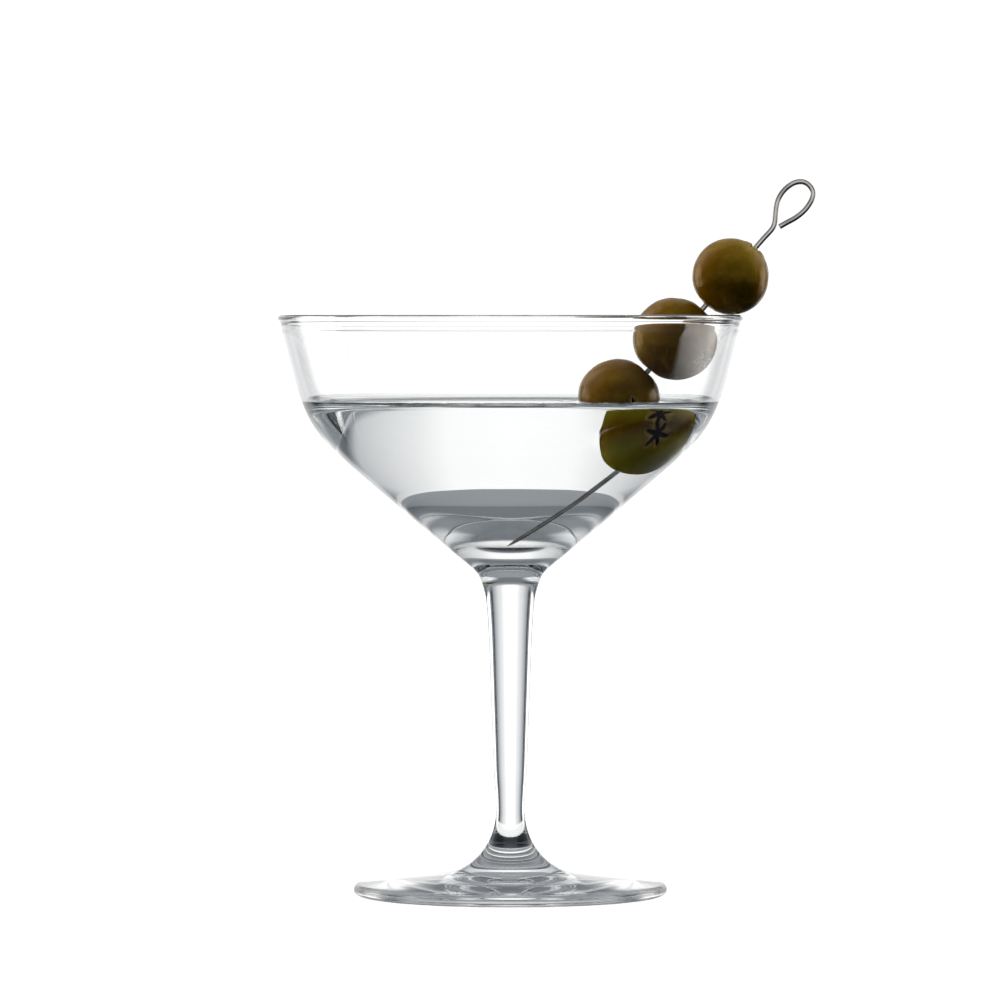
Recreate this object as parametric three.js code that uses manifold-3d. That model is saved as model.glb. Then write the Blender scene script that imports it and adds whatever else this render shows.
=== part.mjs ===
// A martini glass with its drink and a garnish pick of three pitted olives, in millimetres.
// The glass turns about the Z axis and stands on z = 0. The pick lies in the XZ plane, with its tip on the
// floor of the bowl and its upper olive on the rim.
import * as THREE from "three";
import { mergeVertices } from "three/addons/utils/BufferGeometryUtils.js";
import Module from "manifold-3d";

// ---- Driving dimensions ----
const HEIGHT = 128.6; // foot to the top of the rim
const RIM_RADIUS = 51.5; // outside of the rim's bead
const FOOT_RADIUS = 34.8;
const FILL_LEVEL = 108.7; // surface of the drink
const PICK_SLOPE = THREE.MathUtils.degToRad(49.2); // above the horizontal
const WIRE_RADIUS = 0.6;
const GAP = 0.3; // between neighbours that don't share a flat face

// ---- Bowl ----
const BEAD_RADIUS = 0.85; // fire-polished bead of the rim
const WALL_TOP = new THREE.Vector2(50.9, 126.1); // outside of the wall, just under the bead
const WALL_TOP_LEAN = THREE.MathUtils.degToRad(14.9); // from the vertical
const CONE_TOP = new THREE.Vector2(34.8, 94.7); // where the curved wall meets the cone
const CONE_LEAN = THREE.MathUtils.degToRad(49.6);
const WALL_HANDLES = [19.8, 14.3]; // how firmly the wall leaves its two ends
const CONE_BOTTOM_RADIUS = 14.5;
const WALL_THICKNESS = { top: 1.15, cone: 1.55 };
const BOWL_FLOOR = 79.5; // inside, on the axis

// ---- Stem and foot ----
const NECK_HEIGHT = 70.1; // where the bowl is fused to the stem
const NECK_RADIUS = 6.65;
const STEM_TOP = new THREE.Vector2(5.05, 61);
const STEM_WAIST = new THREE.Vector2(3.2, 19.5);
const WELD_HEIGHT = 12; // where the stem is fused to the foot
const WELD_RADIUS = 4.75;
const FLARE_END = new THREE.Vector2(14.5, 4.85);
const FOOT_EDGE = 2.6; // thickness of the foot at its rounded edge

// ---- Pick ----
const PICK_TIP = new THREE.Vector2(-0.63, 79.9); // x and z
const TIP_TAPER = 4.5;
const SHAFT_LENGTH = 89.5; // tip to the first bend of the eye
const EYE_LENGTH = 12.6;
const EYE_WIDTH = 6.5;

// ---- Olives: how far along the pick from its tip, how far across it, and which way the cut end faces ----
const OLIVES = [
  { name: "olive_lower", along: 38.7, across: -0.8, length: 20, width: 17.7, cut: [0.35, -0.9, -0.27] },
  { name: "olive_middle", along: 57, across: -0.2, length: 19.2, width: 18.4, cut: [0.7, -0.54, -0.46] },
  { name: "olive_upper", along: 75.6, across: 0, length: 17, width: 17, cut: [0.65, 0, 0.76] },
];
const PIT_RADIUS = 2.7;
const PIT_END_WALL = 3.4; // flesh left at the cut end
const STAR_CUT = { width: 0.7, length: 6.4, count: 3 };

const ROUND = 48; // flats round the glass
const PICK_DIRECTION = new THREE.Vector3(Math.cos(PICK_SLOPE), 0, Math.sin(PICK_SLOPE));
const PICK_ACROSS = new THREE.Vector3(Math.sin(PICK_SLOPE), 0, -Math.cos(PICK_SLOPE));
const VIEWED_SIDE = new THREE.Vector3(0, 1, 0);

const wasm = await Module();
wasm.setup();

// ---- Helpers ----
const point = (x, y) => new THREE.Vector2(x, y);
// A step of the given length along a wall that leans from the vertical, downwards and inwards.
const down = (from, lean, length) =>
  point(from.x - Math.sin(lean) * length, from.y - Math.cos(lean) * length);
// A point moved square to such a wall, into the bowl.
const inward = (from, lean, length) =>
  point(from.x - Math.cos(lean) * length, from.y + Math.sin(lean) * length);
const curve = (from, fromHandle, toHandle, to, steps) =>
  new THREE.CubicBezierCurve(from, fromHandle, toHandle, to).getPoints(steps);
const arc = (centre, radius, from, to, steps) =>
  new THREE.EllipseCurve(centre.x, centre.y, radius, radius, from, to, to < from).getPoints(steps);

function lathe(outline, flats = ROUND) {
  const joined = outline.filter((p, i) => i === 0 || p.distanceTo(outline[i - 1]) > 1e-4);
  return new THREE.LatheGeometry(joined, flats).rotateX(Math.PI / 2);
}

function solid(geometry) {
  const bare = geometry.clone();
  bare.deleteAttribute("normal");
  bare.deleteAttribute("uv");
  const merged = mergeVertices(bare, 1e-4);
  return new wasm.Manifold(
    new wasm.Mesh({
      numProp: 3,
      vertProperties: merged.attributes.position.array,
      triVerts: new Uint32Array(merged.index.array),
    }),
  );
}

function geometryOf(body) {
  const made = body.getMesh();
  const geometry = new THREE.BufferGeometry();
  geometry.setAttribute("position", new THREE.BufferAttribute(made.vertProperties, made.numProp));
  geometry.setIndex(new THREE.BufferAttribute(made.triVerts, 1));
  geometry.computeVertexNormals();
  return geometry;
}

function mesh(name, geometry, material) {
  const made = new THREE.Mesh(geometry, material);
  made.name = name;
  return made;
}

// ---- Materials ----
const clearGlass = new THREE.MeshStandardMaterial({
  color: 0xeef3f3, roughness: 0.03, metalness: 0, transparent: true, opacity: 0.35,
});
const clearDrink = new THREE.MeshStandardMaterial({
  color: 0xe8eff0, roughness: 0.02, metalness: 0, transparent: true, opacity: 0.3,
});
const oliveFlesh = new THREE.MeshStandardMaterial({ color: 0x5a4a12, roughness: 0.35, metalness: 0 });
const steelWire = new THREE.MeshStandardMaterial({ color: 0x9a9794, roughness: 0.22, metalness: 1 });

// ---- Glass ----
// The outside of the bowl from the neck up to the bead.
function bowlOutside() {
  const coneLength = (CONE_TOP.x - CONE_BOTTOM_RADIUS) / Math.sin(CONE_LEAN);
  const coneBottom = down(CONE_TOP, CONE_LEAN, coneLength);
  const neck = curve(
    point(NECK_RADIUS, NECK_HEIGHT),
    point(NECK_RADIUS + 0.6, NECK_HEIGHT + 2.6),
    down(coneBottom, CONE_LEAN, 5.2),
    coneBottom,
    4,
  );
  const wall = curve(
    CONE_TOP,
    down(CONE_TOP, CONE_LEAN, -WALL_HANDLES[1]),
    down(WALL_TOP, WALL_TOP_LEAN, WALL_HANDLES[0]),
    WALL_TOP,
    8,
  );
  return [...neck, ...wall];
}

// The inside of the bowl from the bead down to the axis, held off by clear. A sphere rounds off the cone.
function bowlInside(clear = 0) {
  const top = inward(WALL_TOP, WALL_TOP_LEAN, WALL_THICKNESS.top + clear);
  const coneTop = inward(CONE_TOP, CONE_LEAN, WALL_THICKNESS.cone + clear);
  const wall = curve(
    top,
    down(top, WALL_TOP_LEAN, WALL_HANDLES[0]),
    down(coneTop, CONE_LEAN, -WALL_HANDLES[1]),
    coneTop,
    8,
  );
  const apex = coneTop.y - coneTop.x / Math.tan(CONE_LEAN);
  const floor = BOWL_FLOOR + clear;
  const radius = ((floor - apex) * Math.sin(CONE_LEAN)) / (1 - Math.sin(CONE_LEAN));
  const bottom = arc(point(0, floor + radius), radius, -CONE_LEAN, -Math.PI / 2, 6);
  return [...wall, ...bottom];
}

function makeBowl() {
  const beadCentre = point(RIM_RADIUS - BEAD_RADIUS, HEIGHT - BEAD_RADIUS);
  const bead = arc(beadCentre, BEAD_RADIUS, -0.25 * Math.PI, Math.PI, 5);
  return lathe([point(0, NECK_HEIGHT), ...bowlOutside(), ...bead, ...bowlInside()]);
}

function makeStem() {
  const flare = curve(
    point(WELD_RADIUS, WELD_HEIGHT),
    point(WELD_RADIUS - 1, WELD_HEIGHT + 2.2),
    point(STEM_WAIST.x - 0.05, STEM_WAIST.y - 3),
    STEM_WAIST,
    5,
  );
  const neck = curve(
    STEM_TOP,
    point(STEM_TOP.x + 0.1, STEM_TOP.y + 3),
    point(NECK_RADIUS - 0.5, NECK_HEIGHT - 2),
    point(NECK_RADIUS, NECK_HEIGHT),
    4,
  );
  return lathe([point(0, WELD_HEIGHT), ...flare, ...neck, point(0, NECK_HEIGHT)], 32);
}

function makeFoot() {
  const edgeRadius = FOOT_EDGE / 2;
  const edgeCentre = point(FOOT_RADIUS - edgeRadius, edgeRadius);
  const edge = arc(edgeCentre, edgeRadius, -0.5 * Math.PI, 0.44 * Math.PI, 6);
  const flare = curve(
    FLARE_END,
    point(FLARE_END.x - 4.5, FLARE_END.y + 0.6),
    point(WELD_RADIUS + 1.3, WELD_HEIGHT - 2.3),
    point(WELD_RADIUS, WELD_HEIGHT),
    5,
  );
  return lathe([point(0, 0), ...edge, ...flare, point(0, WELD_HEIGHT)]);
}

// ---- Pick and olives ----
// A point so far along the pick from its tip, and so far across it.
const onPick = (along, across = 0) =>
  new THREE.Vector3(PICK_TIP.x, 0, PICK_TIP.y)
    .addScaledVector(PICK_DIRECTION, along)
    .addScaledVector(PICK_ACROSS, across);

// The wire's centre line: a straight shaft, then a drop-shaped eye that ends beside the shaft.
function wirePath() {
  const half = EYE_WIDTH / 2;
  const bend = SHAFT_LENGTH;
  return [
    [bend - 4, 0], [bend, 0.1], [bend + 1.6, -0.6], [bend + 3.9, -2.1], [bend + 6.1, -half - 0.05],
    [bend + 8.6, -half - 0.3], [bend + 11, -half + 0.35], [bend + EYE_LENGTH - 0.2, -1.5],
    [bend + EYE_LENGTH, 0.2], [bend + 11.8, half - 1.1], [bend + 10, half - 0.3],
    [bend + 7.7, half - 0.2], [bend + 5.2, half - 0.65], [bend + 2.9, half - 1.65], [bend + 1.5, half - 2.25],
  ].map(([along, across]) => onPick(along, across));
}

function makePick() {
  const section = new THREE.Shape().absarc(0, 0, WIRE_RADIUS, 0, 2 * Math.PI, false);
  const path = new THREE.CatmullRomCurve3([onPick(TIP_TAPER), onPick(SHAFT_LENGTH / 2), ...wirePath()]);
  const wire = new THREE.ExtrudeGeometry(section, { curveSegments: 4, steps: 58, extrudePath: path });
  const tip = new THREE.CylinderGeometry(WIRE_RADIUS, 0.12, TIP_TAPER + 0.5, 8)
    .rotateX(Math.PI / 2)
    .translate(0, 0, (TIP_TAPER + 0.5) / 2);
  alongPick(tip, onPick(0));
  return geometryOf(solid(wire).add(solid(tip)));
}

// Turns a geometry's Z axis on to the pick and moves its origin to a place.
function alongPick(geometry, place) {
  const turn = new THREE.Matrix4().makeBasis(PICK_ACROSS, VIEWED_SIDE, PICK_DIRECTION);
  return geometry.applyMatrix4(turn.setPosition(place));
}

// Turns a geometry's Z axis on to an olive's own axis, towards its cut end, and moves it to the olive.
function inOlive(geometry, olive) {
  const axis = new THREE.Vector3(...olive.cut).normalize();
  const turn = new THREE.Quaternion().setFromUnitVectors(new THREE.Vector3(0, 0, 1), axis);
  return geometry.applyQuaternion(turn).translate(...onPick(olive.along, olive.across).toArray());
}

// An olive's outer shape, larger by grow all round.
function oliveBody(olive, grow = 0) {
  const round = olive.width / 2 + grow;
  const ball = new THREE.SphereGeometry(1, 22, 12)
    .rotateX(Math.PI / 2)
    .scale(round, round, olive.length / 2 + grow);
  return solid(inOlive(ball, olive));
}

function pickHole(from, to) {
  const hole = new THREE.CylinderGeometry(WIRE_RADIUS + GAP, WIRE_RADIUS + GAP, to - from, 10)
    .rotateX(Math.PI / 2);
  return solid(alongPick(hole, onPick((from + to) / 2)));
}

// What the pitting machine takes out: a round channel from one end, and a star of cuts at the other.
function pitHole(olive) {
  const end = olive.length / 2;
  const channelEnd = end - PIT_END_WALL;
  const channel = new THREE.CylinderGeometry(PIT_RADIUS, PIT_RADIUS, channelEnd + end + 2, 14)
    .rotateX(Math.PI / 2)
    .translate(0, 0, (channelEnd - end - 2) / 2);
  let hole = solid(inOlive(channel, olive));
  for (let i = 0; i < STAR_CUT.count; i += 1) {
    const cut = new THREE.BoxGeometry(STAR_CUT.length, STAR_CUT.width, PIT_END_WALL + 2)
      .translate(0, 0, channelEnd + PIT_END_WALL / 2)
      .rotateZ((i * Math.PI) / STAR_CUT.count);
    hole = hole.add(solid(inOlive(cut, olive)));
  }
  return hole;
}

function makeOlive(olive) {
  const passage = pickHole(olive.along - olive.length, olive.along + olive.length);
  return geometryOf(oliveBody(olive).subtract(passage).subtract(pitHole(olive)));
}

// ---- Drink: the inside of the bowl up to the fill level, round the pick and the lower olive ----
function makeDrink() {
  const inside = bowlInside(GAP);
  const wet = inside.filter((p) => p.y < FILL_LEVEL - 0.5).reverse();
  const above = inside.findLast((p) => p.y >= FILL_LEVEL - 0.5);
  const last = wet[wet.length - 1];
  const share = (FILL_LEVEL - last.y) / (above.y - last.y);
  const brim = point(last.x + (above.x - last.x) * share, FILL_LEVEL);
  const body = solid(lathe([...wet, brim, point(0, FILL_LEVEL)]));
  return geometryOf(body.subtract(oliveBody(OLIVES[0], GAP)).subtract(pickHole(-2, SHAFT_LENGTH)));
}

const glass = new THREE.Group();
glass.add(
  mesh("bowl", makeBowl(), clearGlass),
  mesh("stem", makeStem(), clearGlass),
  mesh("foot", makeFoot(), clearGlass),
  mesh("drink", makeDrink(), clearDrink),
  mesh("pick", makePick(), steelWire),
  ...OLIVES.map((olive) => mesh(olive.name, makeOlive(olive), oliveFlesh)),
);

export default glass;
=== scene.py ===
"""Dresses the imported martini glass: a seamless clear glass, its drink, a wire pick and three pitted olives.

Shapes are written in millimetres and built in metres. Profiles are (radius, height) points; the pick's own
line is (along, across) points, measured from its tip.
"""

import math
from itertools import pairwise

import bmesh
import bpy
from mathutils import Matrix, Vector, noise
from mathutils.geometry import interpolate_bezier


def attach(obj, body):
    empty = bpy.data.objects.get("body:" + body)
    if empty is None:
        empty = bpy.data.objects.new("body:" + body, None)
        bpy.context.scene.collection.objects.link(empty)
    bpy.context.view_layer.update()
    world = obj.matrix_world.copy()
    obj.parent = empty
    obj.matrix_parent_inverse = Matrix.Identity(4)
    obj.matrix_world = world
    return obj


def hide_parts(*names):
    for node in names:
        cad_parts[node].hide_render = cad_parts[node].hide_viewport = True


bl_info = {
    "name": "Martini Glass",
    "version": (1, 0, 0),
    "blender": (4, 5, 0),
    "location": "3D View > Sidebar > Martini",
    "description": "Builds a martini glass with its drink and a pick of olives",
    "category": "Add Mesh",
}

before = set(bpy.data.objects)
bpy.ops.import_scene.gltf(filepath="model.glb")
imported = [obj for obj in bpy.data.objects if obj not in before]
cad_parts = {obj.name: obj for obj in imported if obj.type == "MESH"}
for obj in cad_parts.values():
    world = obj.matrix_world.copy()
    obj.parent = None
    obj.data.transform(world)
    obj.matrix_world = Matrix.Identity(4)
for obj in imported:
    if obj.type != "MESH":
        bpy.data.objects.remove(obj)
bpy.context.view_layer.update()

MM = 0.001
HAIR = 1e-6  # a length or a slope too small to count
GLASS_INDEX = 1.52
DRINK_INDEX = 1.333
WORLD_PEAK = 4.0  # the brightest light that a ramp of the room can hold
COOL_GREYS = (1.05, 1.0, 0.95)  # powers of red, green and blue, which turn the darker greys cool


# ---------------------------------------------------------------------------------------------- sizes


class GlassSizes(bpy.types.PropertyGroup):
    """The glass's own sizes"""

    height: bpy.props.FloatProperty(
        name="Height",
        description="From the table to the top of the rim",
        default=128.6 * MM,
        unit="LENGTH",
    )
    rim_radius: bpy.props.FloatProperty(
        name="Rim radius",
        description="Outside of the rim's bead",
        default=51.5 * MM,
        unit="LENGTH",
    )
    foot_radius: bpy.props.FloatProperty(
        name="Foot radius", description="Outer edge of the foot", default=34.8 * MM, unit="LENGTH"
    )
    wall: bpy.props.FloatProperty(
        name="Wall", description="Thickness of the wall near the rim", default=1.15 * MM, unit="LENGTH"
    )
    floor: bpy.props.FloatProperty(
        name="Bowl floor", description="Lowest point inside the bowl", default=79.5 * MM, unit="LENGTH"
    )
    waviness: bpy.props.FloatProperty(
        name="Waviness", description="How uneven the glass's skin is", default=0.12, min=0, max=1
    )


class DrinkSizes(bpy.types.PropertyGroup):
    """The drink in the bowl"""

    level: bpy.props.FloatProperty(
        name="Level", description="Height of the flat surface", default=108.7 * MM, unit="LENGTH"
    )
    climb: bpy.props.FloatProperty(
        name="Climb",
        description="How far the surface climbs up what it touches",
        default=1.1 * MM,
        unit="LENGTH",
    )


class PickSizes(bpy.types.PropertyGroup):
    """The wire pick"""

    wire_radius: bpy.props.FloatProperty(
        name="Wire radius", description="Half the wire's thickness", default=0.6 * MM, unit="LENGTH"
    )
    slope: bpy.props.FloatProperty(
        name="Slope",
        description="Angle of the shaft above the horizontal",
        default=math.radians(49.2),
        subtype="ANGLE",
    )
    shaft: bpy.props.FloatProperty(
        name="Shaft", description="From the tip to the eye's first bend", default=89.5 * MM, unit="LENGTH"
    )
    steel: bpy.props.FloatVectorProperty(
        name="Steel",
        description="Colour of the metal",
        default=(0.62, 0.59, 0.56),
        subtype="COLOR",
        min=0,
        max=1,
    )


class OliveSizes(bpy.types.PropertyGroup):
    """The olives' finish"""

    ripe: bpy.props.FloatVectorProperty(
        name="Ripe skin",
        description="Colour of the browner skin",
        default=(0.36, 0.17, 0.003),
        subtype="COLOR",
        min=0,
        max=1,
    )
    # The green also carries the painted light below the drink on the lowest olive.
    green: bpy.props.FloatVectorProperty(
        name="Green skin",
        description="Colour of the greener skin",
        default=(0.72, 0.6, 0.04),
        subtype="COLOR",
        min=0,
        max=1,
    )
    lumps: bpy.props.FloatProperty(
        name="Lumps",
        description="How far the skin strays from a true oval",
        default=0.16 * MM,
        unit="LENGTH",
    )


class StageSizes(bpy.types.PropertyGroup):
    """Floor, light and camera"""

    camera_distance: bpy.props.FloatProperty(
        name="Camera distance", description="From the glass's axis", default=1.548, unit="LENGTH"
    )
    panel_light: bpy.props.FloatProperty(
        name="Side panels",
        description="Brightness of the two side panels",
        default=1.7,
        min=0,
        max=WORLD_PEAK,
    )
    ceiling_light: bpy.props.FloatProperty(
        name="Ceiling", description="Brightness overhead", default=0.2, min=0, max=WORLD_PEAK
    )


# -------------------------------------------------------------------------------------- shape helpers


def follow(start, *spans):
    """Points along joined Bezier spans: (handle, handle, knot, steps), or (knot, steps) where straight."""
    points = [Vector(start).to_3d()]
    for span in spans:
        *handles, knot, steps = span
        begin, end = points[-1], Vector(knot).to_3d()
        if not handles:
            handles = (begin.lerp(end, 1 / 3), begin.lerp(end, 2 / 3))
        first, second = (Vector(h).to_3d() for h in handles)
        points += interpolate_bezier(begin, first, second, end, steps + 1)[1:]
    return points


def smooth_through(knots, steps):
    """Points along a smooth line through knots, with the same number of steps in each stretch."""
    knots = [Vector(k) for k in knots]
    slopes = [knots[1] - knots[0]]
    slopes += [(after - before) / 2 for before, after in zip(knots, knots[2:])]
    slopes.append(knots[-1] - knots[-2])
    points = [knots[0]]
    for i, (begin, end) in enumerate(pairwise(knots)):
        span = interpolate_bezier(begin, begin + slopes[i] / 3, end - slopes[i + 1] / 3, end, steps + 1)
        points += span[1:]
    return points


def lathe(bm, profile, flats):
    """Turns a (radius, height) profile in millimetres about Z into a closed skin that points outwards."""
    verts = [bm.verts.new(Vector((r, 0, z)) * MM) for r, z, *_ in profile]
    edges = [bm.edges.new(pair) for pair in pairwise(verts)]
    bmesh.ops.spin(
        bm,
        geom=verts + edges,
        axis=(0, 0, 1),
        cent=(0, 0, 0),
        angle=math.tau,
        steps=flats,
        use_merge=True,
    )
    bmesh.ops.remove_doubles(bm, verts=bm.verts, dist=1e-7)
    bmesh.ops.recalc_face_normals(bm, faces=bm.faces)


def sweep(bm, stations, sides):
    """Draws a round bar through a list of 4x4 stations, whose scale is the bar's radius there."""
    ring = bmesh.ops.create_circle(bm, cap_ends=True, segments=sides, radius=1, matrix=stations[0])["verts"]
    edges = list({edge for vert in ring for edge in vert.link_edges})
    for before, after in pairwise(stations):
        grown = bmesh.ops.extrude_edge_only(bm, edges=edges)["geom"]
        ring = {part for part in grown if isinstance(part, bmesh.types.BMVert)}
        edges = [
            part
            for part in grown
            if isinstance(part, bmesh.types.BMEdge) and ring.issuperset(part.verts)
        ]
        bmesh.ops.transform(bm, matrix=after @ before.inverted(), verts=list(ring))
    bmesh.ops.contextual_create(bm, geom=edges)
    bmesh.ops.recalc_face_normals(bm, faces=bm.faces)


def fade(distance, reach):
    """1 at no distance, falling smoothly to nearly 0 past reach."""
    return math.exp(-((distance / reach) ** 2))


def make_piece(name, bm, materials, body, stands_for):
    """Turns a bmesh into a smooth object that rides on a body and stands for its CAD nodes."""
    mesh = bpy.data.meshes.new(name)
    bm.to_mesh(mesh)
    bm.free()
    mesh.shade_smooth()
    for material in materials:
        mesh.materials.append(material)
    piece = bpy.data.objects.new(name, mesh)
    bpy.context.scene.collection.objects.link(piece)
    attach(piece, body)
    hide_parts(*stands_for)
    return piece


# ----------------------------------------------------------------------------------- material helpers


class Finish:
    """A material under construction, with its shader and short ways to add nodes."""

    def __init__(self, name):
        self.material = bpy.data.materials.new(name)
        self.material.use_nodes = True
        self.tree = self.material.node_tree
        self.shader = self.tree.nodes["Principled BSDF"]

    def add(self, kind, settings=None, **inputs):
        """A new node. Settings are its own fields; inputs are values or sockets, by the input's name."""
        node = self.tree.nodes.new(kind)
        for field, value in (settings or {}).items():
            setattr(node, field, value)
        for name, value in inputs.items():
            self.plug(node.inputs[name.replace("_", " ")], value)
        return node

    def plug(self, socket, value):
        """Gives an input a value, or links a socket to it."""
        if isinstance(value, bpy.types.NodeSocket):
            self.tree.links.new(value, socket)
        else:
            socket.default_value = value

    def set(self, **inputs):
        """Values or sockets for the shader's own inputs."""
        for name, value in inputs.items():
            self.plug(self.shader.inputs[name.replace("_", " ")], value)

    def place(self, scale=(1, 1, 1), turn=(0, 0, 0), shift=(0, 0, 0)):
        """Object coordinates, shifted, turned and scaled for a pattern."""
        coords = self.add("ShaderNodeTexCoord").outputs["Object"]
        return self.add(
            "ShaderNodeMapping", Vector=coords, Location=shift, Rotation=turn, Scale=scale
        ).outputs["Vector"]

    def grain(self, scale, detail=2.0, roughness=0.5, at=None):
        """A noise pattern's value, with its scale in features per metre."""
        return self.add(
            "ShaderNodeTexNoise",
            Vector=at or self.place(),
            Scale=scale,
            Detail=detail,
            Roughness=roughness,
        ).outputs["Fac"]

    def ramp(self, value, *stops):
        """A smooth ramp of (place, grey) stops over a value."""
        node = self.add("ShaderNodeValToRGB", Fac=value)
        node.color_ramp.interpolation = "EASE"
        elements = node.color_ramp.elements
        while len(elements) < len(stops):
            elements.new(0.5)
        for element, (place, grey) in zip(elements, stops):
            element.position, element.color = place, (grey, grey, grey, 1)
        return node.outputs["Color"]

    def math(self, operation, first, second=0.0, clamp=False):
        """One arithmetic step."""
        node = self.add("ShaderNodeMath", {"operation": operation, "use_clamp": clamp})
        self.plug(node.inputs[0], first)
        self.plug(node.inputs[1], second)
        return node.outputs[0]

    def blend(self, share, first, second):
        """first where share is 0, second where it is 1."""
        node = self.add("ShaderNodeMix", {"data_type": "RGBA"})
        for socket, value in zip((node.inputs[0], node.inputs[6], node.inputs[7]), (share, first, second)):
            self.plug(socket, (*value, 1) if isinstance(value, tuple) and len(value) == 3 else value)
        return node.outputs[2]

    def bump(self, height, distance, strength=1.0, over=None):
        """A surface normal from a height pattern. Distance is in metres."""
        node = self.add("ShaderNodeBump", Height=height, Distance=distance, Strength=strength)
        if over is not None:
            self.plug(node.inputs["Normal"], over)
        return node.outputs["Normal"]


# --------------------------------------------------------------------------------------------- finishes


WELD_LOW, WELD_HIGH = 69 * MM, 76 * MM


def clear_finish(name, index, glass=None):
    """Clear matter. Index is its refractive index over that of what its surface faces."""
    finish = Finish(name)
    finish.set(Transmission_Weight=1.0, Roughness=0.0, IOR=index, Base_Color=(0.99, 0.995, 0.995, 1))
    if glass is None:
        return finish.material
    # The skin is gently uneven, with fine level streaks where the bowl was fused to the stem.
    soft = finish.grain(60, 1.0, at=finish.place(scale=(1, 1, 0.6)))
    height = finish.add("ShaderNodeSeparateXYZ", Vector=finish.place()).outputs["Z"]
    band = finish.ramp(
        finish.math("MULTIPLY", finish.math("SUBTRACT", height, WELD_LOW), 1 / (WELD_HIGH - WELD_LOW)),
        (0.0, 0.0),
        (0.15, 1.0),
        (0.6, 0.5),
        (1.0, 0.0),
    )
    streaks = finish.grain(300, 2.0, at=finish.place(scale=(0.06, 0.06, 3)))
    wavy = finish.bump(soft, 0.4 * MM, glass.waviness)
    finish.set(Normal=finish.bump(finish.math("MULTIPLY", streaks, band), 0.12 * MM, 0.5, over=wavy))
    return finish.material


def steel_finish(pick):
    """Drawn steel, with fine scratches along the shaft."""
    finish = Finish("drawn_steel")
    along = finish.place(turn=(0, pick.slope - math.pi / 2, 0))
    fine = finish.add("ShaderNodeMapping", Vector=along, Scale=(1, 1, 0.03)).outputs["Vector"]
    scratches = finish.grain(9000, 3.0, 0.6, at=fine)
    cloud = finish.grain(220, 3.0)
    dull = tuple(0.6 * c for c in pick.steel)
    finish.set(
        Metallic=1.0,
        Base_Color=finish.blend(finish.ramp(cloud, (0.35, 0.0), (0.75, 1.0)), tuple(pick.steel), dull),
        Roughness=finish.math("ADD", finish.math("MULTIPLY", cloud, 0.15), 0.12),
        Normal=finish.bump(scratches, 0.01 * MM, 0.35),
    )
    return finish.material


def olive_finish(name, olives, shift, painted_light_below=None):
    """Wet olive skin: mottled, finely pored, and pale where the pitting machine cut it, with painted shade
    deep in the cuts and, on the lowest olive, painted light below the drink.
    """
    finish = Finish(name)
    finish.set(Specular_IOR_Level=0.5, Specular_Tint=(1.0, 0.6, 0.08, 1))
    at = finish.place(shift=shift)
    clouds = finish.grain(110, 4.0, 0.6, at=at)
    share = finish.ramp(clouds, (0.4, 0.0), (0.72, 0.35))
    if painted_light_below is not None:
        # Painted light: below the drink's surface the lowest olive is painted paler and greener, standing in
        # for the light the drink brings to it.
        height = finish.add("ShaderNodeSeparateXYZ", Vector=finish.place()).outputs["Z"]
        wander = finish.math("MULTIPLY", clouds, 3 * MM)
        below = finish.math("SUBTRACT", painted_light_below + 1.5 * MM, finish.math("ADD", height, wander))
        under = finish.math("MULTIPLY", below, 1 / (3 * MM), clamp=True)
        share = finish.math("MAXIMUM", share, under)
        # The drink's index is near the skin's, so the sheen all but goes under the surface.
        wet = finish.math("MULTIPLY", finish.math("SUBTRACT", height, painted_light_below), 1 / MM, clamp=True)
        finish.set(Specular_IOR_Level=finish.math("MULTIPLY", wet, 0.5))
    skin = finish.blend(share, tuple(olives.ripe), tuple(olives.green))
    bruise = finish.grain(45, 3.0, 0.55, at=at)
    dark = tuple(0.4 * c for c in olives.ripe)
    skin = finish.blend(finish.ramp(bruise, (0.46, 0.0), (0.68, 0.5)), skin, dark)
    dots = finish.add(
        "ShaderNodeTexVoronoi", {"feature": "F1"}, Vector=at, Scale=700.0, Randomness=1.0
    ).outputs["Distance"]
    skin = finish.blend(finish.ramp(dots, (0.05, 0.25), (0.16, 0.0)), skin, (0.6, 0.42, 0.1))
    depth = finish.add("ShaderNodeAttribute", {"attribute_name": "cut"}).outputs["Fac"]
    skin = finish.blend(finish.ramp(depth, (0.02, 0.0), (0.12, 0.9), (0.3, 0.6)), skin, (0.85, 0.6, 0.2))
    # Painted shade: the deepest parts of the star's cuts and of the pit's channel are painted near black.
    skin = finish.blend(finish.ramp(depth, (0.24, 0.0), (0.6, 1.0)), skin, (0.05, 0.02, 0.003))
    pores = finish.grain(1400, 3.0, 0.6, at=at)
    wrinkles = finish.grain(320, 3.0, 0.6, at=at)
    finish.set(
        Base_Color=skin,
        Roughness=finish.math("ADD", finish.math("MULTIPLY", pores, 0.16), 0.12),
        Subsurface_Weight=0.15,
        Subsurface_Radius=(1.0, 0.45, 0.1),
        Subsurface_Scale=1.2 * MM,
        Normal=finish.bump(pores, 0.03 * MM, 0.3, over=finish.bump(wrinkles, 0.25 * MM, 0.35)),
    )
    return finish.material


# ------------------------------------------------------------------------------------------------ glass

CONE_LEAN = math.radians(49.6)
BOTTOM_STEPS = 24


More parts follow.
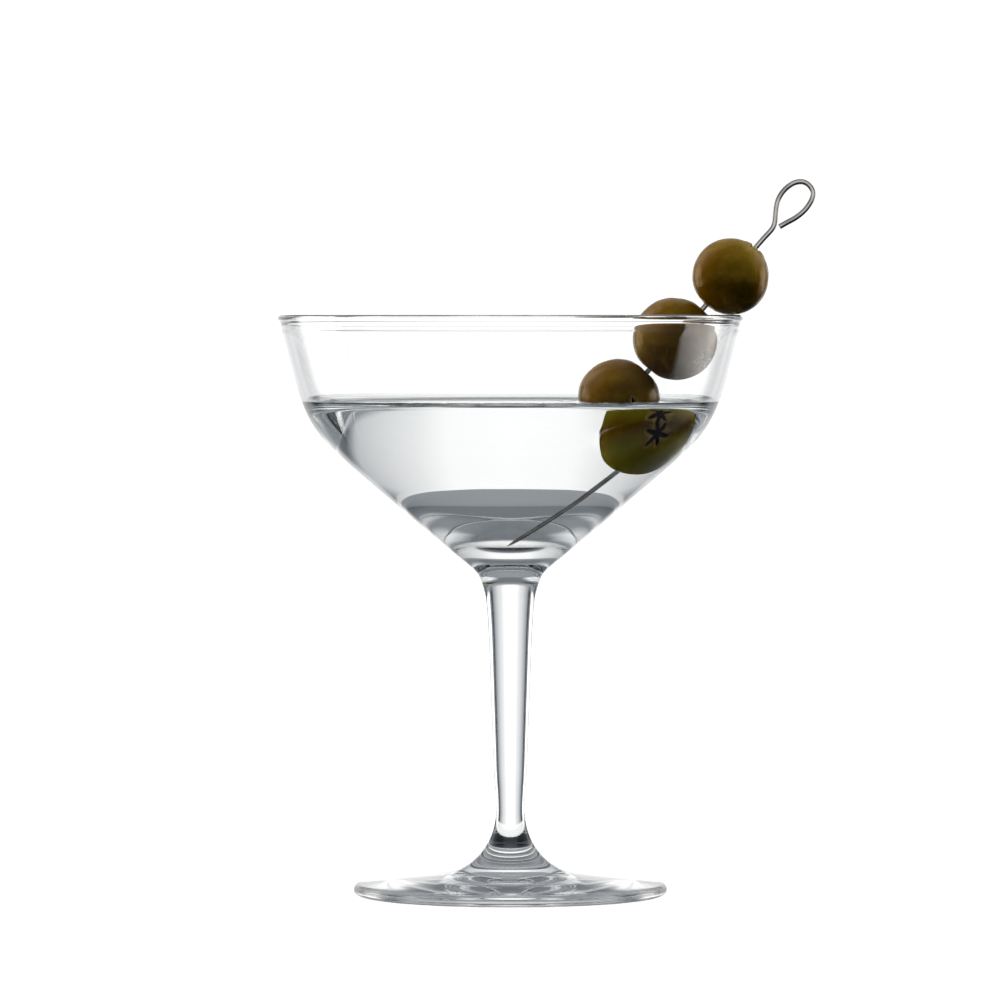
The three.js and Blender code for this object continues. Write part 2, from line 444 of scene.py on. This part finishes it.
def bowl_inside(glass, lift=0.0):
    """The inside of the bowl from just under the rim's bead down to the axis, raised by lift."""
    cone_top = Vector((33.78, 95.87))
    wall = follow(
        (49.42, 125.0 + lift),
        ((45.02, 107.24 + lift), (44.14, 104.68 + lift), cone_top + Vector((0, lift)), 56),
    )
    # The cap of a ball that meets the cone smoothly closes the bottom.
    floor = glass.floor / MM
    apex = cone_top.y - cone_top.x / math.tan(CONE_LEAN)
    ball = (floor - apex) * math.sin(CONE_LEAN) / (1 - math.sin(CONE_LEAN))
    for i in range(BOTTOM_STEPS + 1):
        turn = (math.pi / 2 - CONE_LEAN) * (1 - i / BOTTOM_STEPS)
        wall.append(Vector((ball * math.sin(turn), floor + ball * (1 - math.cos(turn)) + lift, 0)))
    return wall


def glass_outline(glass):
    """The whole glass in section, from the axis under the foot round to the axis inside the bowl."""
    foot, rim, top = glass.foot_radius / MM, glass.rim_radius / MM, glass.height / MM
    inner = rim - 0.6 - glass.wall / MM
    outside = follow(
        (0, 0.55),
        ((14, 0.55), (foot - 8, 0.0), (foot - 1.45, 0), 14),
        ((foot - 0.65, 0), (foot, 0.55), (foot, 1.3), 8),
        ((foot, 2.0), (foot - 0.5, 2.55), (foot - 1.15, 2.62), 8),
        ((foot - 7.5, 3.38), (20, 4.2), (14.5, 4.84), 14),
        ((9.6, 5.42), (6.2, 9.1), (4.65, 12.3), 18),
        ((3.65, 14.3), (3.15, 17.2), (3.15, 19.2), 12),
        ((3.15, 22), (3.57, 25.2), (3.7, 28.2), 8),
        ((4.03, 37), (4.37, 46), (4.7, 54.8), 14),
        ((4.83, 58.3), (5.1, 62.8), (5.4, 65.5), 10),
        ((5.62, 67.3), (6.5, 69.7), (7, 70.8), 10),
        ((7.75, 72.3), (10.6, 74.08), (14.5, 77.4), 14),
        ((34.78, 94.69), 14),
        ((45.69, 103.97), (46.08, 106.95), (50.6, 125.2), 56),
        ((50.72, 125.7), (50.75, 126.5), (50.98, 127.0), 6),
        ((51.2, 127.25), (rim, 127.45), (rim, 127.85), 6),
        ((rim, 128.27), (rim - 0.4, top), (rim - 0.85, top), 6),
        ((rim - 1.35, top), (inner, 128.25), (inner, 127.7), 6),
        ((inner, 127.0), (inner - 0.2, 125.8), (49.42, 125.0), 8),
    )
    return outside + bowl_inside(glass)[1:]


class MARTINI_OT_glass(bpy.types.Operator):
    """Build the bowl, stem and foot as the one piece of glass that they are fused into"""

    bl_idname = "martini.glass"
    bl_label = "Glass"

    def execute(self, context):
        glass, drink = context.scene.martini_glass, context.scene.martini_drink
        bm = bmesh.new()
        lathe(bm, glass_outline(glass), 192)
        wet_line = drink.level + drink.climb
        bmesh.ops.bisect_plane(
            bm, geom=bm.verts[:] + bm.edges[:] + bm.faces[:], plane_co=(0, 0, wet_line), plane_no=(0, 0, 1)
        )
        for face in bm.faces:
            middle = face.calc_center_median()
            inside = face.normal.z > 0 and middle.z > glass.floor - HAIR
            leans_in = face.normal.dot(Vector((middle.x, middle.y, 0))) < HAIR
            if inside and leans_in and middle.z < wet_line:
                face.material_index = 1
        finishes = [
            clear_finish("clear_glass", GLASS_INDEX, glass),
            clear_finish("glass_against_drink", GLASS_INDEX / DRINK_INDEX, glass),
        ]
        make_piece("seamless_glass", bm, finishes, "glass", ("bowl", "stem", "foot"))
        return {"FINISHED"}


# ------------------------------------------------------------------------------------------------ drink


WALL_SPREAD = 0.36  # how far the wall moves out for each step up, at the surface


class MARTINI_OT_drink(bpy.types.Operator):
    """Fill the bowl, with the surface climbing a little up the wall and up the lowest olive"""

    bl_idname = "martini.drink"
    bl_label = "Drink"

    def execute(self, context):
        glass, drink = context.scene.martini_glass, context.scene.martini_drink
        level, climb = drink.level / MM, drink.climb / MM
        wall = [p for p in bowl_inside(glass, lift=0.05) if p.y < level + climb]
        brim = wall[0].x + (level + climb - wall[0].y) * WALL_SPREAD
        surface = follow(
            (0, level),
            ((brim - 6, level), 76),
            ((brim - 3, level), (brim - 0.75, level + 0.3 * climb), (brim, level + climb), 14),
        )
        bm = bmesh.new()
        lathe(bm, surface + wall, 256)
        for face in bm.faces:
            middle = face.calc_center_median()
            if not (face.normal.z > 0.3 and middle.z > (level - 0.05) * MM):
                face.material_index = 1
        # A low ring of drink clings to the lowest olive at its waterline.
        olive = OLIVES[0]
        centre = on_pick(context.scene.martini_pick, olive["along"], olive["across"])
        waterline = math.sqrt(max(0.0, (olive["width"] / 2) ** 2 - (centre.z / MM - level) ** 2)) * MM
        for vert in bm.verts:
            if abs(vert.co.z - level * MM) > 0.02 * MM:
                continue
            away = abs((vert.co.xy - centre.xy).length - waterline)
            vert.co.z += 0.35 * climb * MM * math.exp(-away / (1.2 * MM))
        finishes = [clear_finish("drink_surface", DRINK_INDEX), clear_finish("drink_against_glass", 1.0)]
        make_piece("clear_drink", bm, finishes, "glass", ("drink",))
        return {"FINISHED"}


# ------------------------------------------------------------------------------------------------- pick

PICK_TIP = (-0.63, 79.9)
DRAWN_RADIUS = 0.6  # the wire radius that the tip and the end are drawn for
TIP_TAPER = [(0, 0.04), (0.35, 0.13), (1.2, 0.27), (2.4, 0.42), (3.6, 0.53), (4.8, 0.59), (6, DRAWN_RADIUS)]
END_TAPER = [(0.06, 0.57), (0.1, 0.5)]
EYE = [
    (-3, 0),
    (0, 0.05),
    (1.65, -0.58),
    (3.95, -2.2),
    (6.1, -3.25),
    (8.55, -3.5),
    (10.85, -2.9),
    (12.3, -1.6),
    (12.65, 0),
    (12.05, 1.6),
    (10.5, 2.5),
    (8, 2.82),
    (5.4, 2.42),
    (3, 1.55),
    (1.5, 1.02),
]


def pick_axes(pick):
    """Unit vectors along the pick and across it."""
    along = Vector((math.cos(pick.slope), 0, math.sin(pick.slope)))
    return along, Vector((along.z, 0, -along.x))


def on_pick(pick, along, across=0.0):
    """The point so far along the pick from its tip and so far across it, in metres."""
    forward, sideways = pick_axes(pick)
    tip = Vector((PICK_TIP[0], 0, PICK_TIP[1]))
    return (tip + forward * along + sideways * across) * MM


class MARTINI_OT_pick(bpy.types.Operator):
    """Draw the wire pick: a sharpened shaft, and a drop-shaped eye that ends beside the shaft"""

    bl_idname = "martini.pick"
    bl_label = "Pick"

    def execute(self, context):
        pick = context.scene.martini_pick
        shaft = pick.shaft / MM
        line = [(along, 0, radius) for along, radius in TIP_TAPER]
        line += [(along, 0, DRAWN_RADIUS) for along in range(12, int(shaft) - 4, 8)]
        eye = smooth_through([(shaft + along, across) for along, across in EYE], 8)
        line += [(point.x, point.y, DRAWN_RADIUS) for point in eye]
        last = line[-1]
        heading = Vector(last[:2]) - Vector(line[-2][:2])
        heading.normalize()
        for step, radius in END_TAPER:
            line.append((last[0] + heading.x * step, last[1] + heading.y * step, radius))
        centres = [on_pick(pick, along, across) for along, across, _ in line]
        stations = []
        for i, centre in enumerate(centres):
            tangent = (centres[min(i + 1, len(centres) - 1)] - centres[max(i - 1, 0)]).normalized()
            side = Vector((0, 1, 0))
            up = tangent.cross(side)
            turn = Matrix((up, side, tangent)).transposed().to_4x4()
            radius = line[i][2] / DRAWN_RADIUS * pick.wire_radius
            stations.append(Matrix.Translation(centre) @ turn @ Matrix.Scale(radius, 4))
        bm = bmesh.new()
        sweep(bm, stations, 24)
        make_piece("wire_pick", bm, [steel_finish(pick)], "pick", ("pick",))
        return {"FINISHED"}


# ----------------------------------------------------------------------------------------------- olives

# How far along and across the pick each olive sits, its size, and which way its cut end faces.
OLIVES = [
    dict(name="lower", along=38.7, across=-0.8, length=20.0, width=17.7, cut=(0.35, -0.9, -0.27)),
    dict(name="middle", along=57.0, across=-0.2, length=19.2, width=18.4, cut=(0.7, -0.54, -0.46)),
    dict(name="upper", along=75.6, across=0.0, length=17.0, width=17.0, cut=(0.65, 0.0, 0.76)),
]
# The star's cuts, as (heading in degrees, reach), and its depth.
STAR_RAYS = [(8, 3.6), (64, 2.9), (126, 3.7), (187, 3.1), (248, 3.6), (306, 2.8)]
STAR_DEPTH = 1.3
STAR_AREA = 4.2
PIT_RADIUS = 2.7
# Steps into the pit's channel, as (inset, rise, how much it counts as cut).
PIT_STEPS = [(0.96, 0.12, 0.15), (0.97, 0.4, 0.35), (0.99, 1.2, 0.7), (1.0, 5.0, 1.0), (0.6, 1.5, 1.0)]


def cut_star(bm, cut, end):
    """Sinks the pitting machine's star of cuts into the skin at the top pole, and curls its lips up."""
    for vert in bm.verts:
        flat = vert.co.xy / MM
        if vert.co.z < 0 or flat.length > STAR_AREA:
            continue
        angle = math.degrees(math.atan2(flat.y, flat.x))
        sunk, lip = 0.8 * fade(flat.length, 0.75), 0.0
        for heading, reach in STAR_RAYS:
            swing = math.radians((angle - heading + 180) % 360 - 180)
            ahead, aside = flat.length * math.cos(swing), abs(flat.length * math.sin(swing))
            if ahead < 0:
                continue
            tail = max(0.0, 1 - (ahead / reach) ** 2)
            sunk = max(sunk, STAR_DEPTH * tail * fade(aside, 0.42))
            lip = max(lip, 0.22 * tail * fade(aside - 0.8, 0.36))
        vert.co.z += (lip - sunk) * MM
        vert[cut] = max(sunk / STAR_DEPTH, lip * 0.7)


def sink_pit_hole(bm, cut):
    """Opens the round channel that the stone left by, from the bottom pole into the flesh."""
    mouth = [
        face
        for face in bm.faces
        if face.calc_center_median().z < 0 and face.calc_center_median().xy.length < PIT_RADIUS * MM
    ]
    for inset, rise, depth in PIT_STEPS:
        grown = bmesh.ops.extrude_face_region(bm, geom=mouth)["geom"]
        verts = [part for part in grown if isinstance(part, bmesh.types.BMVert)]
        mouth = [part for part in grown if isinstance(part, bmesh.types.BMFace)]
        bmesh.ops.scale(bm, verts=verts, vec=(inset, inset, 1))
        bmesh.ops.translate(bm, verts=verts, vec=(0, 0, rise * MM))
        for vert in verts:
            vert[cut] = depth


def olive_mesh(olive, pick, lumps):
    """One olive, built about its own axis and then set on the pick."""
    bm = bmesh.new()
    cut = bm.verts.layers.float.new("cut")
    bmesh.ops.create_uvsphere(bm, u_segments=160, v_segments=110, radius=1)
    half = olive["length"] / 2
    round_ = olive["width"] / 2
    bmesh.ops.scale(bm, verts=bm.verts, vec=Vector((round_, round_, half)) * MM)
    seed = Vector((olive["along"], half, round_))
    for vert in bm.verts:
        out = vert.co.normalized()
        swell = noise.noise(out * 1.6 + seed) + 0.35 * noise.noise(out * 4.5 + seed)
        vert.co += out * swell * lumps
    cut_star(bm, cut, half)
    sink_pit_hole(bm, cut)
    centre = on_pick(pick, olive["along"], olive["across"])
    axis = Vector(olive["cut"]).normalized()
    turn = Vector((0, 0, 1)).rotation_difference(axis).to_matrix().to_4x4()
    bmesh.ops.transform(bm, matrix=Matrix.Translation(centre) @ turn, verts=bm.verts)
    # The skin is drawn in round the wire where it goes in and comes out.
    along, _ = pick_axes(pick)
    line = on_pick(pick, olive["along"])
    for vert in bm.verts:
        offset = vert.co - line
        ahead = offset.dot(along)
        aside = (offset - along * ahead).length / MM
        if vert[cut] < 0.05 and aside < 4:
            pull = 0.75 * fade(aside, 1.0) + 0.2 * fade(aside, 2.4)
            vert.co -= along * math.copysign(pull * MM, ahead)
    bmesh.ops.recalc_face_normals(bm, faces=bm.faces)
    return bm


class MARTINI_OT_olives(bpy.types.Operator):
    """Set the three pitted olives on the wire"""

    bl_idname = "martini.olives"
    bl_label = "Olives"

    def execute(self, context):
        pick, olives = context.scene.martini_pick, context.scene.martini_olives
        for i, olive in enumerate(OLIVES):
            body = "olive_" + olive["name"]
            # The lowest olive, which stands in the drink, gets painted light below the drink's level.
            painted_light_below = context.scene.martini_drink.level if i == 0 else None
            finish = olive_finish(body + "_skin", olives, (0.013 * i, 0.02 * i, 0.03 * i), painted_light_below)
            bm = olive_mesh(olive, pick, olives.lumps)
            make_piece(body + "_fruit", bm, [finish], body, (body,))
        return {"FINISHED"}


# ------------------------------------------------------------------------------------------------ stage

BACKGROUND_WHITE = (1.1, 1.1, 1.1, 1)
FLOOR_DROP = 0.2 * MM  # the floor lies this far under the foot
AIM = Vector((-2.3, 0, 87.6)) * MM
FOCAL_LENGTH = 251.7  # in millimetres, on a sensor 36 wide


def light_room(stage):
    """Soft studio light from all round: a white backdrop, two bright side panels, a dim ceiling and front.

    A compass angle is 0 at the middle of the backdrop and 180 at the front. Glass shows the room in three
    ways, each with its own ramp: straight through, after a reflection, and after more turns inside it.
    """
    world = bpy.data.worlds.new("soft_studio")
    bpy.context.scene.world = world
    world.use_nodes = True
    tree = world.node_tree
    background = tree.nodes["Background"]

    def step(operation, first, second=0.0, clamp=False):
        node = tree.nodes.new("ShaderNodeMath")
        node.operation, node.use_clamp = operation, clamp
        for socket, value in zip(node.inputs, (first, second)):
            if isinstance(value, bpy.types.NodeSocket):
                tree.links.new(value, socket)
            else:
                socket.default_value = value
        return node.outputs[0]

    def ramp(value, stops):
        node = tree.nodes.new("ShaderNodeValToRGB")
        tree.links.new(value, node.inputs["Fac"])
        elements = node.color_ramp.elements
        while len(elements) < len(stops):
            elements.new(0.5)
        for element, (place, grey) in zip(elements, stops):
            element.position, element.color = place, (grey, grey, grey, 1)
        return node.outputs["Color"]

    def mix(share, first, second):
        kept = step("MULTIPLY", first, step("SUBTRACT", 1.0, share))
        return step("ADD", kept, step("MULTIPLY", second, share))

    coords = tree.nodes.new("ShaderNodeTexCoord")
    parts = tree.nodes.new("ShaderNodeSeparateXYZ")
    tree.links.new(coords.outputs["Generated"], parts.inputs["Vector"])
    x, y, z = parts.outputs
    compass = step("DIVIDE", step("ABSOLUTE", step("ARCTAN2", x, y)), math.pi)
    height = step("ADD", step("DIVIDE", step("ARCSINE", z), math.pi), 0.5)

    def by_compass(*stops):
        return ramp(compass, [(angle / 180, light / WORLD_PEAK) for angle, light in stops])

    def by_height(*stops):
        return ramp(height, [((angle + 90) / 180, share) for angle, share in stops])

    def above(low, high):
        """0 below one angle over the horizon, and 1 above another."""
        span = high - low
        return step("MULTIPLY", step("SUBTRACT", height, (low + 90) / 180), 180 / span, clamp=True)

    panel = stage.panel_light

    # What shows straight through the glass.
    backdrop = [(0, 1.25), (8, 1.2), (13, 1.0), (16, 0.88), (21, 0.78), (27, 0.57), (33, 0.36), (37, 0.08)]
    panels = [(41, 0.06), (44, 0.12), (47, 0.5), (50, panel), (67, panel), (72, 0.8)]
    clear = by_compass(*backdrop, *panels, (76, 0.15), (83, 0.15), (88, 1.2), (180, 1.2))
    clear = mix(above(21, 27), clear, 0.34 / WORLD_PEAK)
    clear = mix(above(-21, -18), 1.15 / WORLD_PEAK, clear)

    # What lights the pieces, and shows in them and after a turn inside the glass.
    backdrop = [(0, 1.12), (9, 1.1), (15, 0.92), (21, 0.82), (31, 0.7), (34, 0.4), (37, 0.1)]
    panels = [(42, 0.08), (46, 0.5), (50, panel), (79, panel)]
    path = tree.nodes.new("ShaderNodeLightPath").outputs
    turned = step("GREATER_THAN", path["Glossy Depth"], 1.5)
    once = by_compass(*backdrop, *panels, (80, 0.04), (92, 0.1), (108, 0.35), (180, 0.35))
    lit = mix(turned, once, by_compass(*backdrop, *panels, (84, 0.4), (180, 0.4)))
    below = by_height((-60, 0.03), (-36, 0.04), (-28, 0.1), (-20, 0.25), (-15, 1))
    below_turned = by_height((-75, 0.08), (-60, 0.25), (-22, 0.34), (-17, 1))
    lit = step("MULTIPLY", lit, mix(turned, below, below_turned))
    ceiling = by_compass((0, 0.33), (33, 0.33), (39, 1.0), (57, 1.0), (70, 0.4), (100, 0.1), (140, 0.04))
    ceiling = mix(above(50, 65), ceiling, stage.ceiling_light / WORLD_PEAK)
    lit = mix(above(11, 15), lit, ceiling)
    long_way = step("GREATER_THAN", path["Glossy Depth"], 2.5)
    lit = step("MULTIPLY", lit, step("SUBTRACT", 1.0, step("MULTIPLY", long_way, 0.3)))

    # A soft light at the front shows in what nothing stands before, such as the wire's eye.
    bare = step("LESS_THAN", path["Transmission Depth"], 0.5)
    beside = by_compass((125, 0.0), (145, 0.6), (180, 0.6))
    beside = step("MULTIPLY", beside, by_height((-20, 0), (0, 1), (70, 1), (85, 0)))
    lit = step("ADD", lit, step("MULTIPLY", beside, bare))

    # Matt light on the olives comes from above and from the sides, and hardly from the front or below.
    all_round = by_compass((0, 0.6), (50, 0.8), (58, 3.9), (83, 3.9), (87, 0.1), (180, 0.01))
    from_above = by_height((-6, 0.0), (6, 0.2), (22, 1))
    overhead = mix(above(40, 75), all_round, 0.4 / WORLD_PEAK)
    matt = step("LESS_THAN", path["Glossy Depth"], 0.5)
    lit = mix(matt, lit, step("MULTIPLY", overhead, from_above))

    straight = step("LESS_THAN", step("ADD", path["Glossy Depth"], path["Diffuse Depth"]), 0.5)
    straight = step("MULTIPLY", straight, path["Is Transmission Ray"])
    room = step("MULTIPLY", mix(straight, lit, clear), WORLD_PEAK)
    cool = tree.nodes.new("ShaderNodeCombineColor")
    for channel, power in zip(cool.inputs, COOL_GREYS):
        tree.links.new(step("POWER", room, power), channel)
    plain = tree.nodes.new("ShaderNodeMix")
    plain.data_type = "RGBA"
    tree.links.new(path["Is Camera Ray"], plain.inputs[0])
    tree.links.new(cool.outputs["Color"], plain.inputs[6])
    plain.inputs[7].default_value = BACKGROUND_WHITE
    tree.links.new(plain.outputs[2], background.inputs["Color"])
    background.inputs["Strength"].default_value = 1.0


class MARTINI_OT_stage(bpy.types.Operator):
    """Add the plain pale floor, the soft studio light and the camera"""

    bl_idname = "martini.stage"
    bl_label = "Stage"

    def execute(self, context):
        scene, stage = context.scene, context.scene.martini_stage
        bm = bmesh.new()
        bmesh.ops.create_circle(bm, cap_ends=True, segments=96, radius=12)
        mesh = bpy.data.meshes.new("floor")
        bm.to_mesh(mesh)
        bm.free()
        floor = bpy.data.objects.new("floor", mesh)
        scene.collection.objects.link(floor)
        floor.location.z = -FLOOR_DROP
        floor.visible_diffuse = False
        floor.visible_glossy = False
        floor.visible_transmission = False
        finish = Finish("pale_floor")
        mottle = finish.grain(1.5, 2.0)
        pale = finish.ramp(mottle, (0.3, 0.78), (0.7, 0.82))
        finish.set(
            Base_Color=pale,
            Roughness=0.9,
            Emission_Color=(1, 1, 1, 1),
            Emission_Strength=0.78,
        )
        mesh.materials.append(finish.material)

        light_room(stage)
        scene.view_settings.view_transform = "Standard"
        scene.cycles.max_bounces = 40
        scene.cycles.transmission_bounces = 40
        scene.cycles.glossy_bounces = 20
        scene.cycles.sample_clamp_indirect = 6

        lens = bpy.data.cameras.new("camera")
        camera = bpy.data.objects.new("camera", lens)
        scene.collection.objects.link(camera)
        camera.location = (AIM.x, -stage.camera_distance, scene.martini_glass.height)
        camera.rotation_euler = (AIM - camera.location).to_track_quat("-Z", "Y").to_euler()
        lens.sensor_width = 36
        lens.lens = FOCAL_LENGTH
        lens.clip_start, lens.clip_end = 0.05, 100
        scene.camera = camera
        return {"FINISHED"}


# ---------------------------------------------------------------------------------------------- add-on


class MARTINI_PT_panel(bpy.types.Panel):
    """Lists the pieces and their sizes"""

    bl_label = "Martini Glass"
    bl_idname = "MARTINI_PT_panel"
    bl_space_type = "VIEW_3D"
    bl_region_type = "UI"
    bl_category = "Martini"

    def draw(self, context):
        for group, operators in PANEL_ROWS:
            box = self.layout.box()
            sizes = getattr(context.scene, group)
            for name in sizes.__annotations__:
                box.prop(sizes, name)
            for operator in operators:
                box.operator(operator.bl_idname)


OPERATORS = (MARTINI_OT_stage, MARTINI_OT_glass, MARTINI_OT_drink, MARTINI_OT_pick, MARTINI_OT_olives)
GROUPS = {
    "martini_glass": GlassSizes,
    "martini_drink": DrinkSizes,
    "martini_pick": PickSizes,
    "martini_olives": OliveSizes,
    "martini_stage": StageSizes,
}
PANEL_ROWS = (
    ("martini_glass", (MARTINI_OT_glass,)),
    ("martini_drink", (MARTINI_OT_drink,)),
    ("martini_pick", (MARTINI_OT_pick,)),
    ("martini_olives", (MARTINI_OT_olives,)),
    ("martini_stage", (MARTINI_OT_stage,)),
)


def register():
    for cls in (*GROUPS.values(), *OPERATORS, MARTINI_PT_panel):
        bpy.utils.register_class(cls)
    for name, group in GROUPS.items():
        setattr(bpy.types.Scene, name, bpy.props.PointerProperty(type=group))


def unregister():
    for name in GROUPS:
        delattr(bpy.types.Scene, name)
    for cls in reversed((*GROUPS.values(), *OPERATORS, MARTINI_PT_panel)):
        bpy.utils.unregister_class(cls)


def main():
    register()
    bpy.ops.martini.stage()
    bpy.ops.martini.glass()
    bpy.ops.martini.drink()
    bpy.ops.martini.pick()
    bpy.ops.martini.olives()


if __name__ == "__main__":
    main()
